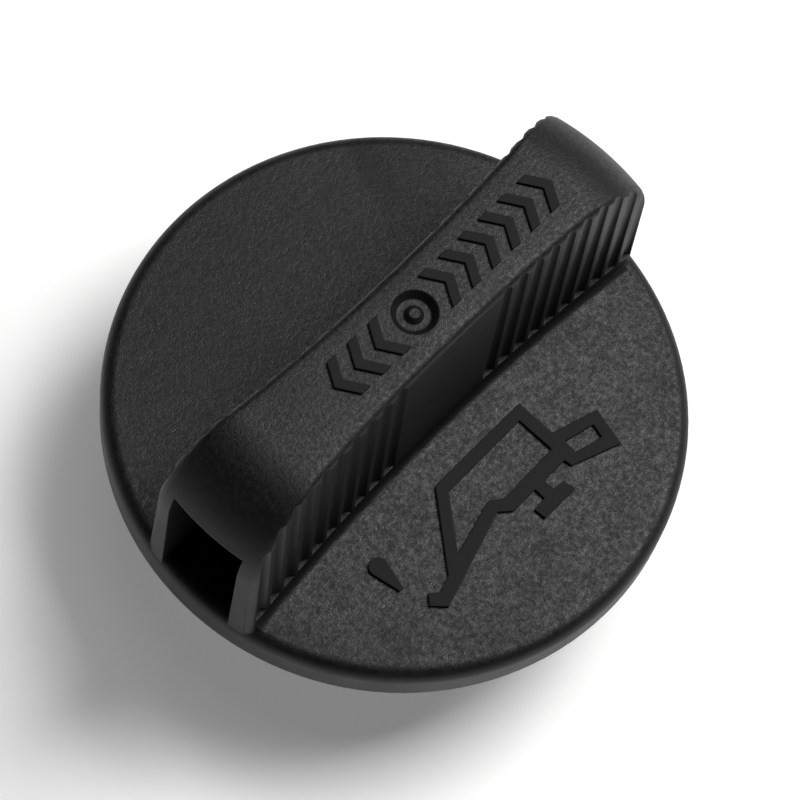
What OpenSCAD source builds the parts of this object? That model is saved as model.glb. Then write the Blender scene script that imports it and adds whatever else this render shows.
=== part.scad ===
// Screw-in oil filler cap: one black moulding with a waisted finger grip, and its rubber seal.
// Frame: +Z up the screw axis, origin at the centre of the neck's lower end, +X along the grip.
// The grip is hollow and open at its -X end. All sizes are millimetres.

/* [Flange] */
// Outer diameter of the flange
flange_d = 56; // [54:0.5:64]
// Thickness of the flange plate
flange_plate = 2.5; // [2:0.1:3.4]
// Height of the flange edge, from the top face to the foot of the skirt
flange_edge = 4.2; // [3.6:0.1:5.5]
// Radius round the top edge of the flange
rim_round = 1.5; // [0.6:0.1:1.9]
// Wall of the hanging skirt
skirt_wall = 1.9; // [1.4:0.1:2.4]

/* [Grip] */
// Height of the grip above the flange
grip_h = 20; // [18:0.5:24]
// Width of the grip's top at its waist
grip_w = 8.6; // [8:0.1:10]
// Radius of the hollowed long sides, seen from above
waist_r = 230; // [200:5:400]
// Draft of the long sides, in degrees
grip_draft = 1.8; // [0.5:0.1:2.5]
// How far the foot of the grip's open end stands in from the flange edge
near_inset = 0.2; // [0.1:0.1:0.8]
// How far the foot of its closed end stands in from the flange edge
far_inset = 0.7; // [0.3:0.1:1.4]
// Draft of the grip's ends, in degrees
end_draft = 1.8; // [0.5:0.1:3]
// Radius that turns the top down at both ends
end_round = 9; // [6:0.2:9.6]
// Radius along the top edges
edge_round = 0.9; // [0.4:0.1:1.2]
// Fillet at the foot of the long sides
foot_fillet = 1; // [0.5:0.1:1.4]

/* [Grip pocket] */
// Width of the pocket at its mouth
pocket_w = 8.4; // [7:0.1:8.6]
// Height of the pocket above the flange
pocket_h = 14.3; // [11:0.1:15]
// Length of the pocket from its mouth
pocket_len = 36; // [28:1:38]
// Taper of each side of the pocket, in degrees
pocket_taper = 2.9; // [2:0.1:3.2]

/* [Finger grooves] */
// Spacing of the grooves along the grip
groove_pitch = 2.05; // [1.9:0.05:2.1]
// Distance from the middle of the grip to the first groove of each group
groove_first = 6.9; // [6:0.1:7.5]
// Grooves in each of the four groups
groove_count = 10; // [4:1:10]
// Diameter that each groove is cut with
groove_d = 1.8; // [1.6:0.05:1.85]
// Depth of each groove at its foot
groove_depth = 0.45; // [0.25:0.05:0.55]
// Lean of the grooves in degrees: less than the draft, so they grow shallow towards the top
groove_lean = 1.2; // [0:0.1:1.8]
// Height of the grooves' lower ends above the flange
groove_foot = 1.8; // [1.4:0.1:4]

/* [Gate mark] */
// Place of the gate mark along the grip, from the middle
gate_x = -0.7; // [-4:0.1:4]
// Diameter of the dished recess on top of the grip
gate_d = 4.4; // [3.6:0.1:5]
// Diameter of its flat floor
gate_floor_d = 3.1; // [2.6:0.1:3.4]
// Depth of the recess
gate_depth = 0.7; // [0.4:0.1:1.2]
// Diameter of the stub left in the recess, at its foot
stub_d = 1.9; // [1.4:0.1:2.4]
// Diameter of the stub where it broke off
stub_tip_d = 1; // [0.6:0.1:1.2]
// Height of the stub
stub_h = 0.5; // [0.2:0.1:0.6]

/* [Raised marks] */
// Height of the chevrons that stand on top of the grip
mark_h = 0.3; // [0.2:0.05:0.5]
// Size of a chevron across the grip
mark_size = 4.2; // [3:0.1:4.6]
// Width of its strokes
mark_stroke = 0.95; // [0.6:0.05:1.1]
// How far its point stands ahead of its ends
mark_point = 1.3; // [0.8:0.1:1.6]
// Spacing of the chevrons along the grip
mark_pitch = 2.65; // [2.5:0.05:2.7]
// Gap between the gate mark and the nearest chevron on each side
mark_gap = 0.5; // [0.2:0.1:0.8]
// Chevrons on the open end's side
marks_near = 3; // [1:1:5]
// Chevrons on the closed end's side
marks_far = 6; // [1:1:6]

/* [Neck] */
// Length of the neck below the flange plate
neck_len = 17; // [16:0.5:20]
// Diameter of the neck at the thread root
neck_d = 34.8; // [34.2:0.1:35.2]
// Diameter of the plain pilot below the thread
pilot_d = 34; // [33.4:0.1:34.1]
// Length of the pilot, from the neck's lower end
pilot_len = 3; // [2.4:0.1:3.4]
// Wall of the neck
neck_wall = 2.6; // [2.2:0.1:3.2]
// Chamfer round the pilot's lower end
neck_chamfer = 0.8; // [0.4:0.1:1]

/* [Thread] */
// Diameter over the thread
thread_d = 37; // [36.2:0.1:37.4]
// Pitch of the thread
thread_pitch = 3; // [2.8:0.1:3.2]
// Turns of full thread
thread_turns = 2.25; // [1.5:0.25:2.5]
// Width of the thread at its crest
thread_crest = 0.9; // [0.6:0.1:1.2]
// Width of the thread at its root
thread_root = 2; // [1.6:0.1:2.2]
// Angle over which the thread grows in and dies out
thread_run_in = 60; // [40:5:90]

/* [Underside] */
// Stiffening ribs between the seal's lip and the skirt
rib_count = 16; // [8:1:24]
// Thickness of each rib
rib_t = 1.2; // [0.8:0.1:2]
// Wall of the lip that keeps the seal in
lip_wall = 1.2; // [0.8:0.1:1.6]
// Height of that lip below the plate
lip_h = 1.4; // [1:0.1:1.7]

/* [Seal] */
// Thickness of the seal
seal_t = 3.2; // [2.6:0.1:3.6]
// Radial width of the seal
seal_w = 3.4; // [2.8:0.1:3.6]
// Edge radius of the seal
seal_round = 0.6; // [0.2:0.1:1]
// Gap all round between the seal and the moulding
seal_gap = 0.05; // [0.03:0.01:0.15]

/* [Hidden] */
body_colour = [0.09, 0.092, 0.09];
seal_colour = [0.16, 0.16, 0.165];
round_fn = 96;
waist_fn = 720;
small_fn = 32;
thread_fn = 36;
eps = 0.01;
over = 2;
lap = 0.2;
past = 4;
flange_r = flange_d / 2;
plate_z = neck_len;
top_z = plate_z + flange_plate;
skirt_z = top_z - flange_edge;
near_r = flange_r - near_inset;
far_r = flange_r - far_inset;
end_z = grip_h - end_round;
neck_r = neck_d / 2;
pilot_r = pilot_d / 2;
bore_r = neck_r - neck_wall;
seal_in_r = neck_r + seal_gap;
seal_out_r = seal_in_r + seal_w;
lip_in_r = seal_out_r + seal_gap;
lip_out_r = lip_in_r + lip_wall;
thread_start = pilot_len + thread_root / 2;
thread_sink = 0.3;
pocket_end_x = pocket_len - near_r;
pocket_end_half = pocket_w / 2 - pocket_len * tan(pocket_taper);

// Centre distance of the cutter that hollows one long side, measured from the grip's middle plane
waist_axis = grip_w / 2 + waist_r;

// Radius of that cutter at height z above the flange: it grows with the draft
function cutter_r(z) = waist_r - (grip_h - z) * tan(grip_draft);

// Half the width of the grip at x along it, at height z above the flange
function half_width(x, z) = waist_axis - sqrt(pow(cutter_r(z), 2) - x * x);

// The flange plate with its rounded edge, and the skirt that hangs from it
module flange() {
    rotate_extrude($fn = round_fn) {
        translate([0, plate_z]) square([flange_r - rim_round, flange_plate]);
        translate([flange_r - skirt_wall, skirt_z]) square([skirt_wall, flange_edge - rim_round]);
        translate([flange_r - rim_round, top_z - rim_round]) intersection() {
            circle(r = rim_round, $fn = round_fn);
            square(rim_round);
        }
    }
}

// Section of the tool that hollows one long side: fillet at the foot, round along the top edge
module waist_section() {
    lean = tan(grip_draft);
    foot_x = cutter_r(0) + foot_fillet * lean - foot_fillet / cos(grip_draft);
    edge_x = cutter_r(grip_h - edge_round) + edge_round / cos(grip_draft);
    difference() {
        polygon([
            [0, -rim_round],
            [foot_x, -rim_round],
            [foot_x, foot_fillet],
            [foot_x + foot_fillet * cos(grip_draft), foot_fillet * (1 - sin(grip_draft))],
            [edge_x - edge_round * cos(grip_draft), grip_h - edge_round * (1 - sin(grip_draft))],
            [edge_x, grip_h - edge_round],
            [edge_x, grip_h + over],
            [0, grip_h + over]
        ]);
        translate([edge_x, grip_h - edge_round]) circle(r = edge_round, $fn = round_fn);
    }
    translate([foot_x, foot_fillet]) circle(r = foot_fillet, $fn = round_fn);
}

// Revolved blank for one half of the grip: its end follows the flange's curve and turns the top down
module grip_blank(foot_r) {
    turn_x = foot_r - end_z * tan(end_draft) - end_round / cos(end_draft);
    rotate_extrude($fn = round_fn) {
        polygon([
            [0, -rim_round],
            [foot_r, -rim_round],
            [foot_r, 0],
            [turn_x + end_round * cos(end_draft), end_z + end_round * sin(end_draft)],
            [turn_x, end_z],
            [turn_x, grip_h],
            [0, grip_h]
        ]);
        translate([turn_x, end_z]) intersection() {
            circle(r = end_round, $fn = round_fn);
            square(end_round);
        }
    }
}

// Where a long side meets the revolved end of radius r, at height z above the flange
function corner_at(r, z) = let (y = half_width(r, z)) [sqrt(r * r - y * y), y];

// Section that rounds a corner at the origin, whose two faces run towards -X and -Y
module corner_section() {
    translate([-edge_round, -edge_round]) difference() {
        square(edge_round + over);
        circle(r = edge_round, $fn = round_fn);
    }
}

// Tool that takes the top edge's radius over the turned-down end and down its upright corner.
// Its two parts run past each other, so that no sliver stays between them.
module corner_tool(foot_r) {
    turn_x = foot_r - end_z * tan(end_draft) - end_round / cos(end_draft);
    high = corner_at(turn_x, grip_h);
    low = corner_at(turn_x + end_round, end_z);
    foot = corner_at(foot_r, 0);
    swing = atan2(low[1] - high[1], low[0] - high[0]);
    translate([high[0], high[1], end_z]) rotate([90, 0, swing]) rotate([0, 0, -past])
        rotate_extrude(angle = 90 + past, $fn = round_fn)
            translate([norm(low - high), 0]) mirror([0, 1]) corner_section();
    translate([low[0], low[1], end_z])
        rotate([atan((foot[1] - low[1]) / end_z), -atan((foot[0] - low[0]) / end_z), swing])
            translate([0, 0, -end_z - rim_round])
                linear_extrude(end_z + rim_round + lap) corner_section();
}

// Four groups of upright finger grooves, deepest at the foot
module finger_grooves() {
    for (side = [-1, 1], way = [-1, 1], i = [0 : groove_count - 1]) {
        x = way * (groove_first + i * groove_pitch);
        y = half_width(x, groove_foot) + groove_d / 2 - groove_depth;
        translate([x, side * y, groove_foot])
            rotate([side * groove_lean, 0, 0])
                cylinder(d = groove_d, h = grip_h, $fn = small_fn);
    }
}

// Tapered pocket that a side core leaves, open at the -X end
module pocket() {
    mouth_half = pocket_w / 2 + over * tan(pocket_taper);
    translate([0, 0, -rim_round]) linear_extrude(pocket_h + rim_round)
        polygon([
            [-near_r - over, -mouth_half],
            [pocket_end_x, -pocket_end_half],
            [pocket_end_x, pocket_end_half],
            [-near_r - over, mouth_half]
        ]);
}

// Dished gate mark on top of the grip, with the broken stub of the gate in it
module gate_cut() {
    translate([gate_x, 0, grip_h - gate_depth]) difference() {
        cylinder(d1 = gate_floor_d, d2 = gate_d, h = gate_depth, $fn = round_fn);
        cylinder(d1 = stub_d, d2 = stub_tip_d, h = stub_h, $fn = small_fn);
    }
}

module grip() {
    translate([0, 0, top_z]) difference() {
        union() {
            intersection() {
                grip_blank(near_r);
                translate([-flange_r, -grip_w, -rim_round]) cube([flange_r, 2 * grip_w, grip_h + rim_round]);
            }
            intersection() {
                grip_blank(far_r);
                translate([0, -grip_w, -rim_round]) cube([flange_r, 2 * grip_w, grip_h + rim_round]);
            }
        }
        for (side = [-1, 1])
            translate([0, side * waist_axis, 0])
                rotate_extrude($fn = waist_fn) waist_section();
        for (side = [0, 1]) mirror([0, side, 0]) {
            corner_tool(far_r);
            mirror([1, 0, 0]) corner_tool(near_r);
        }
        finger_grooves();
        pocket();
        gate_cut();
    }
}

// One raised chevron: its ends start at x = 0, and its point leads towards +X
module chevron() {
    half = mark_size / 2;
    across = mark_stroke / cos(atan(mark_point / half));
    translate([0, 0, grip_h - mark_h]) linear_extrude(2 * mark_h)
        polygon([
            [0, half],
            [mark_point, 0],
            [0, -half],
            [across, -half],
            [mark_point + across, 0],
            [across, half]
        ]);
}

// Chevrons in the places of the words, pointing away from the gate mark on both sides
module marks() {
    start = gate_d / 2 + mark_gap;
    translate([gate_x, 0, top_z]) {
        for (i = [0 : marks_far - 1]) translate([start + i * mark_pitch, 0, 0]) chevron();
        for (i = [0 : marks_near - 1]) translate([-start - i * mark_pitch, 0, 0])
            mirror([1, 0, 0]) chevron();
    }
}

// Hollow neck below the plate, with a plain pilot at its lower end
module neck() {
    rotate_extrude($fn = round_fn)
        polygon([
            [bore_r, neck_chamfer / 2],
            [bore_r + neck_chamfer / 2, 0],
            [pilot_r - neck_chamfer, 0],
            [pilot_r, neck_chamfer],
            [pilot_r, pilot_len - neck_r + pilot_r],
            [neck_r, pilot_len],
            [neck_r, plate_z],
            [bore_r, plate_z]
        ]);
}

// Height of the thread's middle at angle a, and how far it stands out there: it grows in and dies out
function thread_z(a) = thread_start + a / 360 * thread_pitch;
function thread_out(a, last) = min(1, a / thread_run_in, (last - a) / thread_run_in) * (thread_d / 2 - neck_r);

module thread() {
    last = thread_turns * 360;
    steps = thread_turns * thread_fn;
    points = [
        for (i = [0 : steps])
            let (a = i * last / steps, z = thread_z(a), out = thread_out(a, last))
            for (p = [
                [neck_r - thread_sink, -thread_root / 2],
                [neck_r + eps + out, -thread_crest / 2],
                [neck_r + eps + out, thread_crest / 2],
                [neck_r - thread_sink, thread_root / 2]
            ]) [p[0] * cos(a), p[0] * sin(a), z + p[1]]
    ];
    sides = [
        for (i = [0 : steps - 1], k = [0 : 3])
            [4 * i + k, 4 * i + (k + 1) % 4, 4 * i + 4 + (k + 1) % 4, 4 * i + 4 + k]
    ];
    polyhedron(points, concat([[3, 2, 1, 0]], sides, [[for (k = [0 : 3]) 4 * steps + k]]));
}

// Lip that keeps the seal in, and the ribs from it to the skirt
module underside() {
    translate([0, 0, plate_z - lip_h]) difference() {
        cylinder(r = lip_out_r, h = lip_h + eps, $fn = round_fn);
        translate([0, 0, -over]) cylinder(r = lip_in_r, h = lip_h + 2 * over, $fn = round_fn);
    }
    for (i = [0 : rib_count - 1])
        rotate(i * 360 / rib_count)
            translate([lip_out_r - lip_wall / 2, -rib_t / 2, plate_z - lip_h])
                cube([flange_r - skirt_wall / 2 - lip_out_r + lip_wall / 2, rib_t, lip_h + eps]);
}

module cap_body() {
    color(body_colour) {
        flange();
        grip();
        marks();
        neck();
        thread();
        underside();
    }
}

// Moulded rubber ring round the neck, under the plate
module seal_ring() {
    color(seal_colour)
        translate([0, 0, plate_z - seal_gap - seal_t])
            rotate_extrude($fn = round_fn)
                translate([seal_in_r, 0]) {
                    translate([seal_round, 0]) square([seal_w - 2 * seal_round, seal_t]);
                    translate([0, seal_round]) square([seal_w, seal_t - 2 * seal_round]);
                    for (x = [seal_round, seal_w - seal_round], z = [seal_round, seal_t - seal_round])
                        translate([x, z]) circle(r = seal_round, $fn = small_fn);
                }
}

cap_body();
seal_ring();
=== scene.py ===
# %% [markdown]
# Lesson: a screw-in oil filler cap in black moulded nylon.
#
# The cap is a round flange with a tall, hollow finger grip across it. Under the flange are a
# threaded neck and a rubber seal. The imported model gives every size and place, and this file adds
# the finish: softened edges, the raised oil-can sign, the moulded grain, the rubber, and a small
# studio.

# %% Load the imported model
from math import cos, pi, radians, sin

import bmesh
import bpy
from mathutils import Matrix, Vector


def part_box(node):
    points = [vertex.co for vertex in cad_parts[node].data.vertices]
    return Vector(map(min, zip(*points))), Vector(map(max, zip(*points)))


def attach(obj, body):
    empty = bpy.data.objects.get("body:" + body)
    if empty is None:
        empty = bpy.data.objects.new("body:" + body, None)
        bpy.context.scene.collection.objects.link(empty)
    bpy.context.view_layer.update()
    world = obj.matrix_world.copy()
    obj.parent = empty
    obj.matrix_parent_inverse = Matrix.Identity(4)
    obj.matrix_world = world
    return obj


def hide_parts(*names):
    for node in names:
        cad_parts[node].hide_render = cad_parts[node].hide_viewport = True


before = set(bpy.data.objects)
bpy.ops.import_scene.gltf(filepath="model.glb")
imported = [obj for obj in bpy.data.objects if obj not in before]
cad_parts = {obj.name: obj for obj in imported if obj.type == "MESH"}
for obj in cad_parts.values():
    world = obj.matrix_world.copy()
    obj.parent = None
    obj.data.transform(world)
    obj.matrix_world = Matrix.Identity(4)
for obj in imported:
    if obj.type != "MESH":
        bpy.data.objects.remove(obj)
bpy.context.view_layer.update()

MM = 0.001
body_low, body_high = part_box("cap_body")
print("cap, mm:", [round(v / MM, 2) for v in body_high - body_low])

# %% [markdown]
# Sizes that the finish needs. The highest points of the cap are the chevrons on the grip. They
# stand on its flat top, and the flange's top face, which carries the sign, lies 20 mm below that.
# The levels could be plain numbers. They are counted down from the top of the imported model, so
# that they move with it.

# %% Sizes
MARK_HEIGHT = 0.3 * MM
GRIP_TOP = body_high.z - MARK_HEIGHT
GRIP_HEIGHT = 20 * MM
FLANGE_TOP = GRIP_TOP - GRIP_HEIGHT
print("grip's top and flange's top, mm:", [round(z / MM, 2) for z in (GRIP_TOP, FLANGE_TOP)])

# %% [markdown]
# Colours are written as sRGB hex values, the way a paint chart gives them. Blender's shaders
# work in linear light, so one function turns the one into the other.
#
# Node trees could be built by hand in the editor. In a script each node takes several lines, so
# one small function adds a node, sets it and links it, and two more start a material and place an
# object in the scene.


# %% Colour, node and object helpers
def srgb(code):
    """A hex colour such as #1a1a1a as linear red, green, blue and alpha."""
    parts = [int(code[i:i + 2], 16) / 255 for i in (1, 3, 5)]
    return [c / 12.92 if c <= 0.04045 else ((c + 0.055) / 1.055) ** 2.4 for c in parts] + [1]


def add(tree, kind, settings=None, links=None):
    """Adds a node, sets its properties and sockets by name, and links what feeds its sockets."""
    node = tree.nodes.new(kind)
    for name, value in (settings or {}).items():
        if isinstance(name, str) and hasattr(node, name):
            setattr(node, name, value)
        else:
            node.inputs[name].default_value = value
    for name, source in (links or {}).items():
        tree.links.new(source, node.inputs[name])
    return node


def empty_material(name):
    """A new material and its node tree, with no nodes in it yet."""
    material = bpy.data.materials.new(name)
    material.use_nodes = True
    material.node_tree.nodes.clear()
    return material, material.node_tree


def in_scene(name, data):
    """A new object in the scene that shows a mesh, a lamp or a camera."""
    thing = bpy.data.objects.new(name, data)
    bpy.context.scene.collection.objects.link(thing)
    return thing


print("mid grey #808080 in linear light:", round(srgb("#808080")[0], 3))

# %% [markdown]
# The photograph looks down on the cap at about 66 degrees, from the open end of the grip, with
# the camera rolled a little. The camera could be moved by eye until the picture fits. Its place
# was worked out instead, from the flange's rim, the rows of grooves and the sign, because a few
# degrees of error would skew the tall grip.

# %% Camera
ELEVATION = radians(66.43)
AZIMUTH = radians(60.31)
ROLL = radians(-14.10)
DISTANCE = 286.9 * MM
AIM_RIGHT = 0.18 * MM
AIM_DOWN = 0.46 * MM
LENS = 136.9
SENSOR = 36
NEAR_CLIP = 0.01


def camera():
    """Stands the camera on its line of sight and turns it to the photograph's framing."""
    turn = (Matrix.Rotation(-AZIMUTH, 3, "Z") @ Matrix.Rotation(pi / 2 - ELEVATION, 3, "X")
            @ Matrix.Rotation(-ROLL, 3, "Z"))
    data = bpy.data.cameras.new("camera")
    data.lens = LENS
    data.sensor_width = SENSOR
    data.clip_start = NEAR_CLIP
    stand = in_scene("camera", data)
    place = Vector((0, 0, FLANGE_TOP)) + turn @ Vector((AIM_RIGHT, -AIM_DOWN, DISTANCE))
    stand.matrix_world = Matrix.Translation(place) @ turn.to_4x4()
    bpy.context.scene.camera = stand
    return stand


view_camera = camera()
print("camera, mm:", [round(v / MM, 1) for v in view_camera.location])

# %% [markdown]
# Black plastic shows its form by what it mirrors. An even sky would light it too, but then every
# face would be the same dark grey. So a square lamp stands behind the cap and to the right, about
# 20 degrees off the line that a mirror on the flange would send to the camera. The grained face
# spreads its reflection just wide enough to catch the lamp and goes grey. The matt sign spreads it
# so wide that little of it reaches the camera, and stays dark. A weak lamp above fills in.

# %% Lamps
AWAY = Vector((sin(AZIMUTH), cos(AZIMUTH), 0))
ASIDE = Vector((cos(AZIMUTH), -sin(AZIMUTH), 0))
UP = Vector((0, 0, 1))
LAMP_SIDE = 0.30
LAMP_DISTANCE = 0.60
# Each lamp's height and turn in degrees, and its glow
LAMPS = {"light_main": (60, 48, 13.4), "light_top": (80, 0, 1.2)}


def soft_box(name, height, turn, glow):
    """A square lamp that faces the cap, height degrees up and turn degrees right of straight back.

    Its glow is how bright it looks, where 1 is white.
    """
    level = AWAY * cos(radians(turn)) + ASIDE * sin(radians(turn))
    way = level * cos(radians(height)) + UP * sin(radians(height))
    data = bpy.data.lights.new(name, "AREA")
    data.shape = "SQUARE"
    data.size = LAMP_SIDE
    data.energy = glow * pi * LAMP_SIDE ** 2
    lamp = in_scene(name, data)
    lamp.location = UP * FLANGE_TOP + way * LAMP_DISTANCE
    lamp.rotation_euler = way.to_track_quat("Z", "Y").to_euler()
    return lamp


for lamp_name, (up_degrees, side_degrees, brightness) in LAMPS.items():
    lamp = soft_box(lamp_name, up_degrees, side_degrees, brightness)
    print(lamp_name, "at, mm:", [round(v / MM) for v in lamp.location])

# %% [markdown]
# The room round the cap is nearly black, so that it adds no haze to the plastic. Near the horizon
# it turns white, because a low view looks past the floor's far edge there. A backdrop could do
# that with a curved sheet. The world does it without one, and Light Path keeps the white out of
# the light that falls on the cap: only the camera, mirrors and glass see it.

# %% Room
ROOM = "#0a0a0a"
WHITE = "#ffffff"
# How far the white reaches above the horizon, as the height of the line of sight
BAND_FULL = 0.02
BAND_END = 0.10


def seen_directly(tree):
    """1 for what the camera, a mirror or glass sees, and 0 for light that falls on things."""
    path = add(tree, "ShaderNodeLightPath")
    eye = add(tree, "ShaderNodeMath", {"operation": "MAXIMUM"},
              {0: path.outputs["Is Camera Ray"], 1: path.outputs["Is Glossy Ray"]})
    either = add(tree, "ShaderNodeMath", {"operation": "MAXIMUM"},
                 {0: eye.outputs[0], 1: path.outputs["Is Transmission Ray"]})
    return either.outputs[0]


def room():
    """A dark room that meets the floor in a white band, for low views and what they mirror."""
    world = bpy.data.worlds.new("room")
    bpy.context.scene.world = world
    world.use_nodes = True
    tree = world.node_tree
    tree.nodes.clear()
    way = add(tree, "ShaderNodeTexCoord").outputs["Generated"]
    rise = add(tree, "ShaderNodeSeparateXYZ", None, {0: way}).outputs["Z"]
    band = add(tree, "ShaderNodeMapRange",
               {"From Min": BAND_END, "From Max": BAND_FULL, "To Min": 0.0, "To Max": 1.0},
               {"Value": rise})
    seen = add(tree, "ShaderNodeMath", {"operation": "MULTIPLY"},
               {0: band.outputs[0], 1: seen_directly(tree)})
    dim = add(tree, "ShaderNodeBackground", {"Color": srgb(ROOM), "Strength": 1.0})
    white = add(tree, "ShaderNodeBackground", {"Color": srgb(WHITE), "Strength": 1.0})
    mix = add(tree, "ShaderNodeMixShader", None,
              {0: seen.outputs[0], 1: dim.outputs[0], 2: white.outputs[0]})
    add(tree, "ShaderNodeOutputWorld", None, {"Surface": mix.outputs[0]})
    return world


print("world:", room().name)

# %% [markdown]
# The floor is a white sheet of paper. More light would turn it white in the picture, but would
# grey the plastic too. So the paper keeps a plain diffuse white, which holds the cap's shadow, and
# a faint glow that only the camera, mirrors and glass see lifts it to the white of a page.

# %% Floor
FLOOR_WHITE = "#f6f6f5"
FLOOR_GLOW = 0.22
FLOOR_HALF = 1.5


def floor():
    """A plain white floor. It shows a little brighter to the eye than it lights the cap."""
    mesh = bpy.data.meshes.new("floor")
    half = FLOOR_HALF
    mesh.from_pydata([(-half, -half, 0), (half, -half, 0), (half, half, 0), (-half, half, 0)], [],
                     [(0, 1, 2, 3)])
    plane = in_scene("floor", mesh)
    material, tree = empty_material("floor_white")
    matt = add(tree, "ShaderNodeBsdfDiffuse", {"Color": srgb(FLOOR_WHITE)})
    lift = add(tree, "ShaderNodeMath", {"operation": "MULTIPLY", 1: FLOOR_GLOW},
               {0: seen_directly(tree)})
    glow = add(tree, "ShaderNodeEmission", {"Color": srgb(WHITE)}, {"Strength": lift.outputs[0]})
    both = add(tree, "ShaderNodeAddShader", None, {0: matt.outputs[0], 1: glow.outputs[0]})
    add(tree, "ShaderNodeOutputMaterial", None, {"Surface": both.outputs[0]})
    mesh.materials.append(material)
    return plane


print("floor, m:", [round(v, 2) for v in floor().dimensions])
bpy.context.scene.view_settings.view_transform = "Standard"

# %% [markdown]
# Moulded nylon, filled with glass fibre: a near black that is dyed right through. The mould's
# outer face was spark-eroded, which leaves a fine grain on everything that faces up. The steep
# walls slide along the steel as the cap leaves the mould, so they are as satin as the rest but
# keep only a trace of its grain. The sign and the chevrons are matt, and darker for it. An image
# of the grain could be wrapped round the cap. Noise on the object's own coordinates has no seams
# and a size in mm.
#
# A real grain of this kind is about a tenth of a millimetre wide or finer, too fine to show in
# the render. It is drawn as coarse as it needs to show, and its depth is raised with it. It also
# shifts the roughness from spot to spot, which gives the face its flecks.

# %% Nylon's colour and finish
NYLON = "#0d0e0f"
# Lighter colour for the edges: rubbing by fingers, and a painted highlight along them
NYLON_RUBBED_AND_HIGHLIT = "#161717"
NYLON_IOR = 1.53
NYLON_SHINE = 0.31
SATIN = 0.50
SATIN_DRIFT = 0.04
MATT = 0.80
GRAIN_MM = 0.42
GRAIN_DEPTH_MM = 0.065
FLECK = 0.18
CLOUD_MM = 5.0
# A noise texture keeps mostly between these two values
GRAIN_SPAN = (0.35, 0.65)
CLOUD_SPAN = (0.3, 0.7)


def per_mm(size):
    """The texture scale at which one feature is size millimetres wide, on metre coordinates."""
    return 1 / (size * MM)


print("grain, features in a metre:", round(per_mm(GRAIN_MM)))

# %% [markdown]
# Real moulded edges are never sharp, and fingers polish them a little lighter. The lighter edges
# are also a painted highlight, for the bright lines that light draws along them. Bevels could be
# cut into the mesh, but its long thin triangles take them badly. A Bevel node bends the shading
# round the edges instead. Where the bent normal leaves the true one, there is an edge, so the same
# node finds what is rubbed and painted lighter.

# %% Edges and finishes
EDGE_MM = 0.22
# The cosine between the two normals at which the rubbed edge and its painted highlight
# start, and at which they are full
RUB_AND_HIGHLIGHT_START, RUB_AND_HIGHLIGHT_FULL = 0.995, 0.85
# How far a face looks up, from 0 for a wall to 1, where the grain starts and where it is full
GRAIN_START, GRAIN_FULL = 0.55, 0.97


def soft_edges(tree, facing):
    """The normal bent round the edges, and a mask of 1 on polished edges with a painted highlight.
    """
    soft = add(tree, "ShaderNodeBevel", {"samples": 6, "Radius": EDGE_MM * MM}).outputs["Normal"]
    bend = add(tree, "ShaderNodeVectorMath", {"operation": "DOT_PRODUCT"}, {0: soft, 1: facing})
    rubbed_and_highlit = add(tree, "ShaderNodeMapRange",
                 {"From Min": RUB_AND_HIGHLIGHT_START, "From Max": RUB_AND_HIGHLIGHT_FULL, "To Min": 0.0, "To Max": 1.0},
                 {"Value": bend.outputs["Value"]})
    return soft, rubbed_and_highlit.outputs[0]


def finish_masks(tree, place, facing, all_matt):
    """A mask that is 1 on the matt marks, and one that is 1 on the grained faces that look up."""
    height = add(tree, "ShaderNodeSeparateXYZ", None, {0: place}).outputs["Z"]
    on_marks = add(tree, "ShaderNodeMath",
                   {"operation": "GREATER_THAN", 1: GRIP_TOP + MARK_HEIGHT / 2}, {0: height})
    matt = add(tree, "ShaderNodeMath", {"operation": "MAXIMUM", 1: all_matt},
               {0: on_marks.outputs[0]}).outputs[0]
    plain = add(tree, "ShaderNodeMath", {"operation": "SUBTRACT", 0: 1.0}, {1: matt})
    up = add(tree, "ShaderNodeSeparateXYZ", None, {0: facing}).outputs["Z"]
    level = add(tree, "ShaderNodeMapRange", {"From Min": GRAIN_START, "From Max": GRAIN_FULL},
                {"Value": up})
    eroded = add(tree, "ShaderNodeMath", {"operation": "MULTIPLY"},
                 {0: level.outputs[0], 1: plain.outputs[0]})
    return matt, eroded.outputs[0]


print("edge softened over, mm:", EDGE_MM)

# %% [markdown]
# One function makes both nylons: the grained one of the moulding, which turns matt on the chevrons
# by their height, and the matt one of the sign. Two separate materials could drift apart when one
# is changed.
#
# Roughness does most of the work. A cloud of 5 mm drifts it up and down, as the melt's flow does,
# the grain flecks it, and the marks override it. Bump adds the grain's relief on the soft normal.

# %% Black moulded nylon
WALL_RELIEF = 0.08


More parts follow.
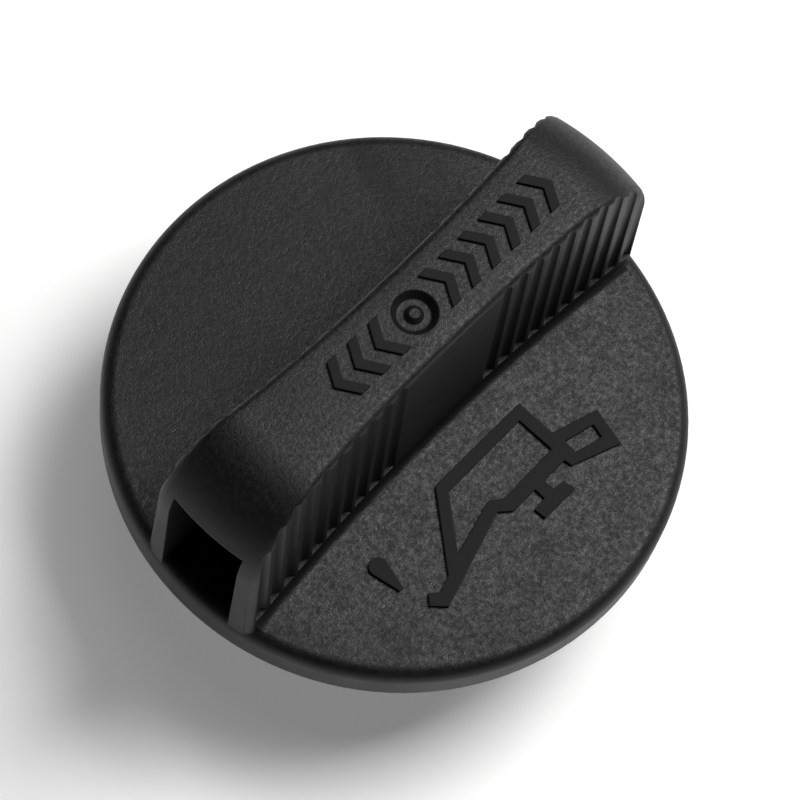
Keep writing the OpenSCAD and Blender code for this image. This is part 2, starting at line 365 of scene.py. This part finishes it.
def moulded_nylon(name, all_matt):
    """Glass-filled nylon, near black: satin and grained where it faces up, matt on the marks."""
    material, tree = empty_material(name)
    place = add(tree, "ShaderNodeTexCoord").outputs["Object"]
    facing = add(tree, "ShaderNodeNewGeometry").outputs["Normal"]
    soft, rubbed_and_highlit = soft_edges(tree, facing)
    matt, eroded = finish_masks(tree, place, facing, all_matt)
    # The edges get the lighter colour: partly rubbing, partly a painted highlight
    tint = add(tree, "ShaderNodeMix", {"data_type": "RGBA"}, {"Factor": rubbed_and_highlit})
    tint.inputs[6].default_value = srgb(NYLON)
    tint.inputs[7].default_value = srgb(NYLON_RUBBED_AND_HIGHLIT)
    cloud = add(tree, "ShaderNodeTexNoise",
                {"Scale": per_mm(CLOUD_MM), "Detail": 4.0, "Roughness": 0.6}, {"Vector": place})
    satin = add(tree, "ShaderNodeMapRange",
                {"From Min": CLOUD_SPAN[0], "From Max": CLOUD_SPAN[1],
                 "To Min": SATIN - SATIN_DRIFT, "To Max": SATIN + SATIN_DRIFT},
                {"Value": cloud.outputs["Fac"]})
    grain = add(tree, "ShaderNodeTexNoise",
                {"Scale": per_mm(GRAIN_MM), "Detail": 4.0, "Roughness": 0.75}, {"Vector": place})
    fleck = add(tree, "ShaderNodeMapRange",
                {"From Min": GRAIN_SPAN[0], "From Max": GRAIN_SPAN[1],
                 "To Min": -FLECK, "To Max": FLECK}, {"Value": grain.outputs["Fac"]})
    flecked = add(tree, "ShaderNodeMath", {"operation": "MULTIPLY_ADD"},
                  {0: fleck.outputs[0], 1: eroded, 2: satin.outputs[0]})
    gloss = add(tree, "ShaderNodeMix", {"data_type": "FLOAT", "B": MATT},
                {"Factor": matt, "A": flecked.outputs[0]})
    depth = add(tree, "ShaderNodeMapRange", {"To Min": WALL_RELIEF, "To Max": 1.0},
                {"Value": eroded})
    relief = add(tree, "ShaderNodeBump", {"Distance": GRAIN_DEPTH_MM * MM},
                 {"Height": grain.outputs["Fac"], "Strength": depth.outputs[0], "Normal": soft})
    skin = add(tree, "ShaderNodeBsdfPrincipled",
               {"IOR": NYLON_IOR, "Specular IOR Level": NYLON_SHINE},
               {"Base Color": tint.outputs[2], "Roughness": gloss.outputs[0],
                "Normal": relief.outputs[0]})
    add(tree, "ShaderNodeOutputMaterial", None, {"Surface": skin.outputs[0]})
    return material


nylon = moulded_nylon("moulded_nylon_grained", 0.0)
nylon_matt = moulded_nylon("moulded_nylon_matt", 1.0)
print("materials:", nylon.name, "and", nylon_matt.name)

# %% [markdown]
# Nitrile rubber, pressed in a polished mould. It is a soft, dead black, a little greyer than the
# nylon, with a faint cloudy bloom where wax comes to the surface. A plain colour would do at a
# glance. A 2 mm noise in the colour and a trace of relief tell it from the plastic beside it.

# %% Rubber
RUBBER = "#161617"
RUBBER_BLOOM = "#222223"
RUBBER_IOR = 1.52
RUBBER_ROUGH = 0.72
BLOOM_MM = 2.0
BLOOM_DEPTH_MM = 0.02
BLOOM_RELIEF = 0.3


def moulded_rubber():
    """Nitrile rubber from a polished mould: dark, matt, with a soft bloom."""
    material, tree = empty_material("nitrile_rubber")
    place = add(tree, "ShaderNodeTexCoord").outputs["Object"]
    bloom = add(tree, "ShaderNodeTexNoise",
                {"Scale": per_mm(BLOOM_MM), "Detail": 5.0, "Roughness": 0.6}, {"Vector": place})
    tint = add(tree, "ShaderNodeMix", {"data_type": "RGBA"}, {"Factor": bloom.outputs["Fac"]})
    tint.inputs[6].default_value = srgb(RUBBER)
    tint.inputs[7].default_value = srgb(RUBBER_BLOOM)
    relief = add(tree, "ShaderNodeBump",
                 {"Strength": BLOOM_RELIEF, "Distance": BLOOM_DEPTH_MM * MM},
                 {"Height": bloom.outputs["Fac"]})
    skin = add(tree, "ShaderNodeBsdfPrincipled", {"IOR": RUBBER_IOR, "Roughness": RUBBER_ROUGH},
               {"Base Color": tint.outputs[2], "Normal": relief.outputs[0]})
    add(tree, "ShaderNodeOutputMaterial", None, {"Surface": skin.outputs[0]})
    return material


rubber = moulded_rubber()
print("material:", rubber.name)

# %% [markdown]
# The grip's four upright corners. Where the rounding of its shoulders runs into them, the packed
# solid has a notch 0.8 mm high and a few hundredths of a millimetre deep, which no real cap has.
# It would show as a dark line. It could be hidden by a wider soft edge, but that would blur every
# corner, so the copy draws the points in the notch up onto the edge above them.

# %% Notches at the grip's corners
CORNER_X = 25.9 * MM
CORNER_Y = 5.2 * MM
NOTCH_LOW = FLANGE_TOP + 10.34 * MM
NOTCH_HIGH = FLANGE_TOP + 11.14 * MM
EDGE_HIGH = FLANGE_TOP + 11.22 * MM
NOTCH_REACH = 0.15 * MM
HAIR = 0.02 * MM
FLAP_AREA = 0.01 * MM ** 2
FLAP_PASSES = 3


def close_notches(shape):
    """Draws the hair-wide notches at the grip's upright corners up onto the edge above them."""
    corner = [v for v in shape.verts if abs(v.co.x) > CORNER_X and abs(v.co.y) > CORNER_Y]
    edge = [v for v in corner if NOTCH_HIGH <= v.co.z < EDGE_HIGH]
    moves = {}
    for vert in corner:
        if NOTCH_LOW < vert.co.z < NOTCH_HIGH:
            near = min(edge, key=lambda other: (other.co.xy - vert.co.xy).length)
            if (near.co.xy - vert.co.xy).length < NOTCH_REACH:
                moves[vert] = near
    bmesh.ops.weld_verts(shape, targetmap=moves)
    around = {line for vert in edge if vert.is_valid for line in vert.link_edges}
    bmesh.ops.dissolve_degenerate(shape, edges=list(around), dist=HAIR)
    bmesh.ops.triangulate(shape, faces=[face for face in shape.faces if len(face.verts) > 3])
    for _ in range(FLAP_PASSES):
        flaps = {line.link_faces[0] for line in shape.edges if line.is_boundary}
        flaps = [face for face in flaps if face.calc_area() < FLAP_AREA]
        bmesh.ops.delete(shape, geom=flaps, context="FACES")
    open_edges = sum(not line.is_manifold for line in shape.edges)
    print("notch points closed:", len(moves), "open edges:", open_edges)


# %% [markdown]
# The moulding is the whole black part: flange, grip, neck, thread and ribs come out of one mould.
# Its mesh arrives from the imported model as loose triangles. It could be modelled again here, but
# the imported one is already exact. So it is copied, and the copy's doubles are merged, because
# smooth shading and the soft edges run only across joined triangles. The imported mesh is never
# changed.

# %% Moulding
MERGE = 0.002 * MM
SMOOTH_DEGREES = 25


def merged_copy(node, name):
    """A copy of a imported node's mesh with its loose triangles joined."""
    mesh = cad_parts[node].data.copy()
    mesh.name = name
    if "custom_normal" in mesh.attributes:
        mesh.attributes.remove(mesh.attributes["custom_normal"])
    shape = bmesh.new()
    shape.from_mesh(mesh)
    bmesh.ops.remove_doubles(shape, verts=shape.verts, dist=MERGE)
    close_notches(shape)
    shape.to_mesh(mesh)
    shape.free()
    return in_scene(name, mesh)


def smooth_by_angle(piece, degrees):
    """Shades a mesh smooth, except along edges sharper than the angle."""
    shape = bmesh.new()
    shape.from_mesh(piece.data)
    for edge in shape.edges:
        edge.smooth = len(edge.link_faces) == 2 and edge.calc_face_angle(0) < radians(degrees)
    for face in shape.faces:
        face.smooth = True
    shape.to_mesh(piece.data)
    shape.free()


moulding = merged_copy("cap_body", "cap_moulding")
moulding.data.materials.clear()
moulding.data.materials.append(nylon)
smooth_by_angle(moulding, SMOOTH_DEGREES)
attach(moulding, "root")
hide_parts("cap_body")
print("moulding faces:", len(moulding.data.polygons))

# %% [markdown]
# The sign. An oil can with a drop stands 0.35 mm proud of the flange, as wide strokes of one even
# height. A curve with a bevel could draw the strokes, but their corners are mitred and their
# widths differ, so the outline itself is given. It was measured on the photograph, flattened to
# the flange's top. Only the corners are listed: the drop's round head is an arc.

# %% Sign's outlines, in mm
SIGN_HEIGHT = 0.35
SIGN_SINK = 0.2
CAN_EDGE = [(-4.4, -8.75), (7.4, -8.75), (7.4, -13.0), (12.2, -14.45), (11.2, -18.35),
            (6.2, -16.5), (6.1, -15.65), (3.25, -15.65), (3.25, -16.85), (4.45, -17.0),
            (4.75, -18.25), (0.5, -18.25), (0.4, -16.95), (1.9, -16.85), (1.95, -15.65),
            (-1.1, -15.65), (-2.2, -14.65), (-12.3, -17.65), (-13.5, -16.35), (-12.7, -15.45),
            (-11.8, -16.15), (-10.1, -15.6)]
CAN_INSIDE = [(-3.9, -10.0), (6.1, -9.95), (6.1, -14.05), (-0.75, -14.2), (-2.0, -13.3),
              (-7.9, -14.8)]
HANDLE_INSIDE = [(7.6, -14.4), (10.8, -15.2), (10.4, -16.65), (7.5, -15.85)]
DROP_HEAD = Vector((-14.0, -10.4))
DROP_HEAD_R = 0.93
DROP_TAIL = Vector((-14.13, -13.4))
DROP_TAIL_HALF = 0.25


def drop_edge(steps=20):
    """The drop's outline: a round head that runs in two straight sides to a blunt tail."""
    down = (DROP_TAIL - DROP_HEAD).normalized()
    side = Vector((-down.y, down.x))
    reach = (DROP_TAIL - DROP_HEAD).length
    lean = pi / 2 + (DROP_HEAD_R - DROP_TAIL_HALF) / reach
    points = [DROP_TAIL + side * DROP_TAIL_HALF]
    for i in range(steps + 1):
        turn = (pi - lean) + (2 * lean) * i / steps
        across = side * (DROP_HEAD_R * sin(turn))
        points.append(DROP_HEAD + down * (DROP_HEAD_R * cos(turn)) + across)
    points.append(DROP_TAIL - side * DROP_TAIL_HALF)
    return [tuple(point) for point in points]


OUTLINES = [CAN_EDGE, CAN_INSIDE, HANDLE_INSIDE, drop_edge()]
print("points in the sign's outlines:", [len(outline) for outline in OUTLINES])

# %% [markdown]
# Geometry Nodes turn the outlines into a solid: Mesh to Curve and Fill Curve make the flat shape
# with its two holes, Extrude Mesh raises it, and a flipped copy of the flat shape closes the
# underside. The faces could be written out by hand, but the holes make that long. Height and sink
# are inputs of the tree, so another sign needs only other outlines.

# %% Raised shape from outlines
SEAM = 0.001 * MM


def raised_shape_tree():
    """A tree that fills closed outlines, raises them by Height and sinks their foot by Sink."""
    tree = bpy.data.node_groups.new("raised_shape", "GeometryNodeTree")
    face = tree.interface
    face.new_socket("Outlines", in_out="INPUT", socket_type="NodeSocketGeometry")
    for name in ("Height", "Sink"):
        face.new_socket(name, in_out="INPUT", socket_type="NodeSocketFloat")
    face.new_socket("Finish", in_out="INPUT", socket_type="NodeSocketMaterial")
    face.new_socket("Solid", in_out="OUTPUT", socket_type="NodeSocketGeometry")
    given = add(tree, "NodeGroupInput").outputs
    outlines = add(tree, "GeometryNodeMeshToCurve", None, {"Mesh": given["Outlines"]})
    flat = add(tree, "GeometryNodeFillCurve", {"mode": "NGONS"}, {"Curve": outlines.outputs[0]})
    whole = add(tree, "ShaderNodeMath", {"operation": "ADD"},
                {0: given["Height"], 1: given["Sink"]})
    raised = add(tree, "GeometryNodeExtrudeMesh", {"mode": "FACES", "Individual": False},
                 {"Mesh": flat.outputs[0], "Offset Scale": whole.outputs[0]})
    under = add(tree, "GeometryNodeFlipFaces", None, {"Mesh": flat.outputs[0]})
    both = add(tree, "GeometryNodeJoinGeometry")
    tree.links.new(raised.outputs["Mesh"], both.inputs[0])
    tree.links.new(under.outputs[0], both.inputs[0])
    closed = add(tree, "GeometryNodeMergeByDistance", {"Distance": SEAM},
                 {"Geometry": both.outputs[0]})
    drop = add(tree, "ShaderNodeMath", {"operation": "MULTIPLY", 1: -1.0}, {0: given["Sink"]})
    offset = add(tree, "ShaderNodeCombineXYZ", None, {"Z": drop.outputs[0]})
    placed = add(tree, "GeometryNodeTransform", None,
                 {"Geometry": closed.outputs[0], "Translation": offset.outputs[0]})
    real = add(tree, "GeometryNodeRealizeInstances", None, {0: placed.outputs[0]})
    finished = add(tree, "GeometryNodeSetMaterial", None,
                   {"Geometry": real.outputs[0], "Material": given["Finish"]})
    add(tree, "NodeGroupOutput", None, {"Solid": finished.outputs[0]})
    return tree


sign_tree = raised_shape_tree()
print("nodes in the tree:", len(sign_tree.nodes))

# %% [markdown]
# A tree needs a mesh to work on, and the export needs a plain mesh back. So the outlines become
# rings of edges, the tree runs on them as a modifier, and its result is kept as a mesh of its own.
# The modifier could be applied with an operator. Reading the evaluated object gives the same mesh
# and doesn't depend on what is selected.


# %% Raised sign on the flange
def outlines_mesh(name, outlines):
    """A mesh of closed rings of edges on the level z = 0, from outlines in millimetres."""
    points, edges = [], []
    for outline in outlines:
        first, count = len(points), len(outline)
        points += [(x * MM, y * MM, 0) for x, y in outline]
        edges += [(first + i, first + (i + 1) % count) for i in range(count)]
    mesh = bpy.data.meshes.new(name)
    mesh.from_pydata(points, edges, [])
    return mesh


def made_by_tree(name, mesh, tree, inputs):
    """Runs a tree on a mesh, with its inputs set by name, and keeps the result as a plain mesh."""
    maker = in_scene(name + "_maker", mesh)
    modifier = maker.modifiers.new("tree", "NODES")
    modifier.node_group = tree
    for item in tree.interface.items_tree:
        if item.in_out == "INPUT" and item.name in inputs:
            modifier[item.identifier] = inputs[item.name]
    seen = maker.evaluated_get(bpy.context.evaluated_depsgraph_get())
    result = bpy.data.meshes.new_from_object(seen)
    result.name = name
    bpy.data.objects.remove(maker)
    return in_scene(name, result)


sign = made_by_tree("oil_can_sign", outlines_mesh("sign_outlines", OUTLINES), sign_tree,
                    {"Height": SIGN_HEIGHT * MM, "Sink": SIGN_SINK * MM, "Finish": nylon_matt})
sign.data.transform(Matrix.Translation((0, 0, FLANGE_TOP)))
smooth_by_angle(sign, SMOOTH_DEGREES)
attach(sign, "root")
print("sign faces:", len(sign.data.polygons))

# %% [markdown]
# The seal is the rubber ring round the neck that keeps the oil in. It could be modelled again, but
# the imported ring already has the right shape, so it stays and only its material slot changes.

# %% Seal
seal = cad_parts["seal_ring"]
seal.material_slots[0].material = rubber
print("seal, mm:", [round(v / MM, 2) for v in seal.dimensions])
